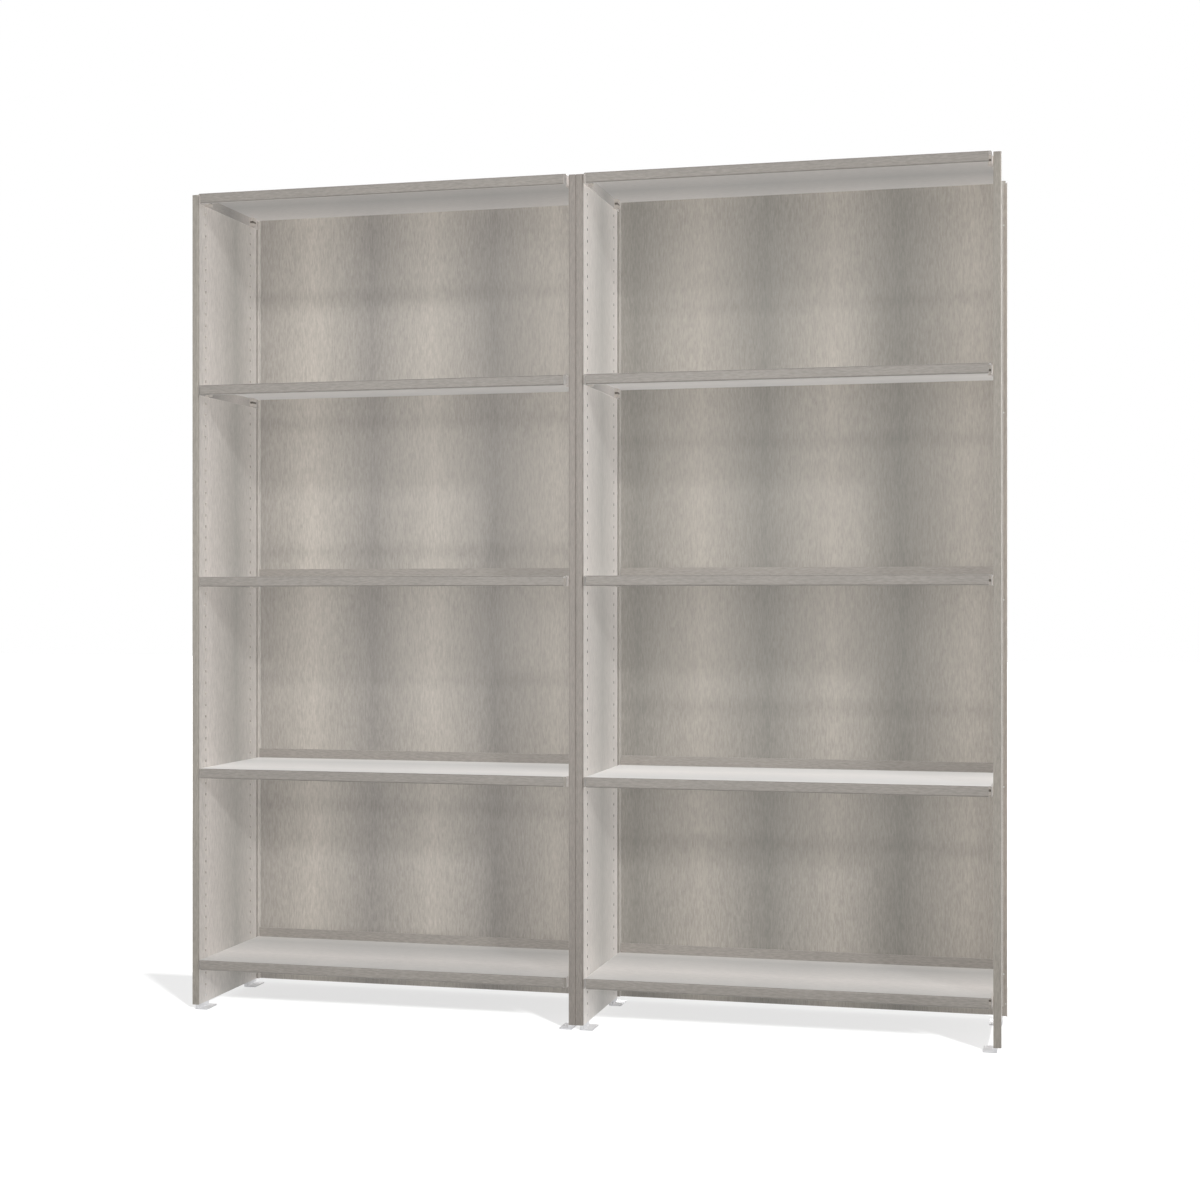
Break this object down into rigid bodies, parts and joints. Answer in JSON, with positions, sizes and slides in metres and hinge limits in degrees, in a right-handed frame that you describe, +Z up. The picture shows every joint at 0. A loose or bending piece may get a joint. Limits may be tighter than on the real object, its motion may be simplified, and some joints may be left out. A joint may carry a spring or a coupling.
{
  "type": "shelving unit",
  "caption": "Free-standing aluminium shelving unit: side-by-side bays with perforated folded side panels, closed backs and folded shelves on height-adjustable clips.",
  "frame": {"origin": "on the floor under the middle of the unit, midway between the shelves' fronts and the back panels' rear faces", "axes": "+Z up, the front faces -Y, +X to the right as seen from the front"},
  "size_m": [2.118, 0.395, 2.199],
  "materials": {
    "panel_aluminium": "brushed, clear anodised",
    "shelf_aluminium": "brushed along the shelf, clear anodised",
    "back_aluminium": "brushed upright, clear anodised",
    "clip_plastic": "moulded, satin",
    "foot_plastic": "moulded, satin",
    "fastener_steel": "zinc plated"
  },
  "bodies": {
    "carcass": {"side_panel_left_end": "panel_aluminium", "foot_left_end_front": "foot_plastic", "hole_rail_left_end_front": "panel_aluminium", "foot_left_end_rear": "foot_plastic", "hole_rail_left_end_rear": "panel_aluminium", "side_panel_left_middle": "panel_aluminium", "foot_left_middle_front": "foot_plastic", "hole_rail_left_middle_front": "panel_aluminium", "foot_left_middle_rear": "foot_plastic", "hole_rail_left_middle_rear": "panel_aluminium", "side_panel_right_middle": "panel_aluminium", "foot_right_middle_front": "foot_plastic", "hole_rail_right_middle_front": "panel_aluminium", "foot_right_middle_rear": "foot_plastic", "hole_rail_right_middle_rear": "panel_aluminium", "side_panel_right_end": "panel_aluminium", "foot_right_end_front": "foot_plastic", "hole_rail_right_end_front": "panel_aluminium", "foot_right_end_rear": "foot_plastic", "hole_rail_right_end_rear": "panel_aluminium", "back_panel_left": "back_aluminium", "back_screws_left": "fastener_steel", "shelf_clips_left_1": "clip_plastic", "shelf_clips_left_2": "clip_plastic", "shelf_clips_left_3": "clip_plastic", "shelf_clips_left_4": "clip_plastic", "shelf_clips_left_5": "clip_plastic", "back_panel_right": "back_aluminium", "back_screws_right": "fastener_steel", "shelf_clips_right_1": "clip_plastic", "shelf_clips_right_2": "clip_plastic", "shelf_clips_right_3": "clip_plastic", "shelf_clips_right_4": "clip_plastic", "shelf_clips_right_5": "clip_plastic", "joining_bolts": "fastener_steel", "joining_nuts": "fastener_steel"},
    "lift_off_shelf_left_1": {"shelf_left_1": "shelf_aluminium"},
    "lift_off_shelf_left_2": {"shelf_left_2": "shelf_aluminium"},
    "lift_off_shelf_left_3": {"shelf_left_3": "shelf_aluminium"},
    "lift_off_shelf_left_4": {"shelf_left_4": "shelf_aluminium"},
    "lift_off_shelf_left_5": {"shelf_left_5": "shelf_aluminium"},
    "lift_off_shelf_right_1": {"shelf_right_1": "shelf_aluminium"},
    "lift_off_shelf_right_2": {"shelf_right_2": "shelf_aluminium"},
    "lift_off_shelf_right_3": {"shelf_right_3": "shelf_aluminium"},
    "lift_off_shelf_right_4": {"shelf_right_4": "shelf_aluminium"},
    "lift_off_shelf_right_5": {"shelf_right_5": "shelf_aluminium"}
  },
  "joints": [
    {"name": "shelf_left_1_lift", "type": "slide", "parent": "carcass", "child": "lift_off_shelf_left_1", "axis": [0, 0, 1], "range_m": [0, 0.03]},
    {"name": "shelf_left_2_lift", "type": "slide", "parent": "carcass", "child": "lift_off_shelf_left_2", "axis": [0, 0, 1], "range_m": [0, 0.03]},
    {"name": "shelf_left_3_lift", "type": "slide", "parent": "carcass", "child": "lift_off_shelf_left_3", "axis": [0, 0, 1], "range_m": [0, 0.03]},
    {"name": "shelf_left_4_lift", "type": "slide", "parent": "carcass", "child": "lift_off_shelf_left_4", "axis": [0, 0, 1], "range_m": [0, 0.03]},
    {"name": "shelf_left_5_lift", "type": "slide", "parent": "carcass", "child": "lift_off_shelf_left_5", "axis": [0, 0, 1], "range_m": [0, 0.03]},
    {"name": "shelf_right_1_lift", "type": "slide", "parent": "carcass", "child": "lift_off_shelf_right_1", "axis": [0, 0, 1], "range_m": [0, 0.03]},
    {"name": "shelf_right_2_lift", "type": "slide", "parent": "carcass", "child": "lift_off_shelf_right_2", "axis": [0, 0, 1], "range_m": [0, 0.03]},
    {"name": "shelf_right_3_lift", "type": "slide", "parent": "carcass", "child": "lift_off_shelf_right_3", "axis": [0, 0, 1], "range_m": [0, 0.03]},
    {"name": "shelf_right_4_lift", "type": "slide", "parent": "carcass", "child": "lift_off_shelf_right_4", "axis": [0, 0, 1], "range_m": [0, 0.03]},
    {"name": "shelf_right_5_lift", "type": "slide", "parent": "carcass", "child": "lift_off_shelf_right_5", "axis": [0, 0, 1], "range_m": [0, 0.03]}
  ]
}
